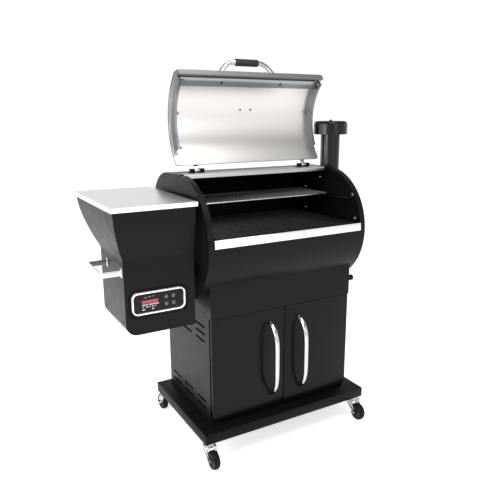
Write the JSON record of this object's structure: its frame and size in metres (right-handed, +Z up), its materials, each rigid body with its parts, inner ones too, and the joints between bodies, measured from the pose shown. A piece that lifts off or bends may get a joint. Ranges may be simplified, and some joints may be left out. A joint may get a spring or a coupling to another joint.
{
  "type": "pellet smoker grill",
  "caption": "Barrel pellet grill with an arched lid, side hopper with controls, chimney, grates and a two-door cupboard on swivel casters, for smoking and grilling food outdoors",
  "frame": {"origin": "On the floor, under the centre of the whole grill's bounding box.", "axes": "+Z up; the front with the doors and controls faces -Y; the hopper is on the -X side and the chimney on the +X side."},
  "size_m": [1.2918, 0.64, 1.6426],
  "materials": {
    "black_paint": "satin powder coat",
    "stainless": "brushed",
    "chrome_plate": "polished",
    "porcelain_iron": "enamelled",
    "black_rubber": "matt",
    "grey_metal": "cast",
    "panel_plastic": "gloss",
    "panel_glass": "gloss"
  },
  "bodies": {
    "frame": {"auger_motor": "grey_metal", "auger_tube": "stainless", "barrel_end_left": "black_paint", "barrel_end_right": "black_paint", "barrel_shell": "black_paint", "base_tray": "black_paint", "blower_housing": "grey_metal", "cabinet_back": "black_paint", "cabinet_floor": "black_paint", "cabinet_side_left": "black_paint", "cabinet_side_right": "black_paint", "chimney_pipe": "black_paint", "control_bezel": "panel_plastic", "control_screen": "panel_glass", "drain_spout": "stainless", "drip_tray": "porcelain_iron", "fascia": "black_paint", "fire_pot": "porcelain_iron", "flame_deflector": "porcelain_iron", "front_strip": "stainless", "hinge_base_left": "stainless", "hinge_base_right": "stainless", "hopper_base": "black_paint", "hopper_bin": "stainless", "hopper_handle": "stainless", "hopper_hinge_pin": "stainless", "hopper_shell": "black_paint", "main_grate_front": "porcelain_iron", "main_grate_rear": "porcelain_iron", "power_inlet": "panel_plastic", "upper_rack": "porcelain_iron"},
    "lid": {"lid_shell": "stainless", "lid_lip": "stainless", "lid_handle": "chrome_plate", "lid_grip": "black_rubber", "hinge_leaf_left": "stainless", "hinge_leaf_right": "stainless"},
    "hopper_cover": {"hopper_lid": "stainless"},
    "door_l": {"door_left": "black_paint", "door_handle_left": "chrome_plate"},
    "door_r": {"door_right": "black_paint", "door_handle_right": "chrome_plate"},
    "cap": {"chimney_cap": "black_paint"},
    "feed_screw": {"auger_screw": "stainless"},
    "rotor": {"blower_rotor": "grey_metal"},
    "key_1": {"button_1": "panel_glass"},
    "key_2": {"button_2": "panel_glass"},
    "key_3": {"button_3": "panel_glass"},
    "key_4": {"button_4": "panel_glass"},
    "fork_front_left": {"caster_fork_front_left": "chrome_plate"},
    "wheel_front_left": {"caster_wheel_front_left": "black_rubber"},
    "fork_front_right": {"caster_fork_front_right": "chrome_plate"},
    "wheel_front_right": {"caster_wheel_front_right": "black_rubber"},
    "fork_rear_left": {"caster_fork_rear_left": "chrome_plate"},
    "wheel_rear_left": {"caster_wheel_rear_left": "black_rubber"},
    "fork_rear_right": {"caster_fork_rear_right": "chrome_plate"},
    "wheel_rear_right": {"caster_wheel_rear_right": "black_rubber"}
  },
  "joints": [
    {"name": "lid_hinge", "type": "hinge", "parent": "frame", "child": "lid", "pos_m": [0.119, 0.053, 1.184], "axis": [1, 0, 0], "range_deg": [0, 122]},
    {"name": "hopper_lid_hinge", "type": "hinge", "parent": "frame", "child": "hopper_cover", "pos_m": [-0.4455, 0.303, 1.089], "axis": [-1, 0, 0], "range_deg": [0, 95]},
    {"name": "door_left_hinge", "type": "hinge", "parent": "frame", "child": "door_l", "pos_m": [-0.223, -0.2055, 0.395], "axis": [0, 0, -1], "range_deg": [0, 110]},
    {"name": "door_right_hinge", "type": "hinge", "parent": "frame", "child": "door_r", "pos_m": [0.461, -0.2055, 0.395], "axis": [0, 0, 1], "range_deg": [0, 110]},
    {"name": "cap_slide", "type": "slide", "parent": "frame", "child": "cap", "axis": [0, 0, 1], "range_m": [0, 0.02]},
    {"name": "auger_spin", "type": "hinge", "parent": "frame", "child": "feed_screw", "pos_m": [-0.495, 0.04, 0.75], "axis": [1, 0, 0], "continuous": true},
    {"name": "blower_spin", "type": "hinge", "parent": "frame", "child": "rotor", "pos_m": [-0.381, 0.03, 0.662], "axis": [1, 0, 0], "continuous": true},
    {"name": "button_1_press", "type": "slide", "parent": "frame", "child": "key_1", "axis": [0, 1, 0], "range_m": [0, 0.0012], "stiffness_N_per_m": 600},
    {"name": "button_2_press", "type": "slide", "parent": "frame", "child": "key_2", "axis": [0, 1, 0], "range_m": [0, 0.0012], "stiffness_N_per_m": 600},
    {"name": "button_3_press", "type": "slide", "parent": "frame", "child": "key_3", "axis": [0, 1, 0], "range_m": [0, 0.0012], "stiffness_N_per_m": 600},
    {"name": "button_4_press", "type": "slide", "parent": "frame", "child": "key_4", "axis": [0, 1, 0], "range_m": [0, 0.0012], "stiffness_N_per_m": 600},
    {"name": "caster_front_left_swivel", "type": "hinge", "parent": "frame", "child": "fork_front_left", "pos_m": [-0.262, -0.245, 0.106], "axis": [0, 0, 1], "continuous": true},
    {"name": "caster_front_left_spin", "type": "hinge", "parent": "fork_front_left", "child": "wheel_front_left", "pos_m": [-0.262, -0.281, 0.039], "axis": [1, 0, 0], "continuous": true},
    {"name": "caster_front_right_swivel", "type": "hinge", "parent": "frame", "child": "fork_front_right", "pos_m": [0.5, -0.245, 0.106], "axis": [0, 0, 1], "continuous": true},
    {"name": "caster_front_right_spin", "type": "hinge", "parent": "fork_front_right", "child": "wheel_front_right", "pos_m": [0.5, -0.281, 0.039], "axis": [1, 0, 0], "continuous": true},
    {"name": "caster_rear_left_swivel", "type": "hinge", "parent": "frame", "child": "fork_rear_left", "pos_m": [-0.262, 0.245, 0.106], "axis": [0, 0, 1], "continuous": true},
    {"name": "caster_rear_left_spin", "type": "hinge", "parent": "fork_rear_left", "child": "wheel_rear_left", "pos_m": [-0.262, 0.281, 0.039], "axis": [1, 0, 0], "continuous": true},
    {"name": "caster_rear_right_swivel", "type": "hinge", "parent": "frame", "child": "fork_rear_right", "pos_m": [0.5, 0.245, 0.106], "axis": [0, 0, 1], "continuous": true},
    {"name": "caster_rear_right_spin", "type": "hinge", "parent": "fork_rear_right", "child": "wheel_rear_right", "pos_m": [0.5, 0.281, 0.039], "axis": [1, 0, 0], "continuous": true}
  ]
}
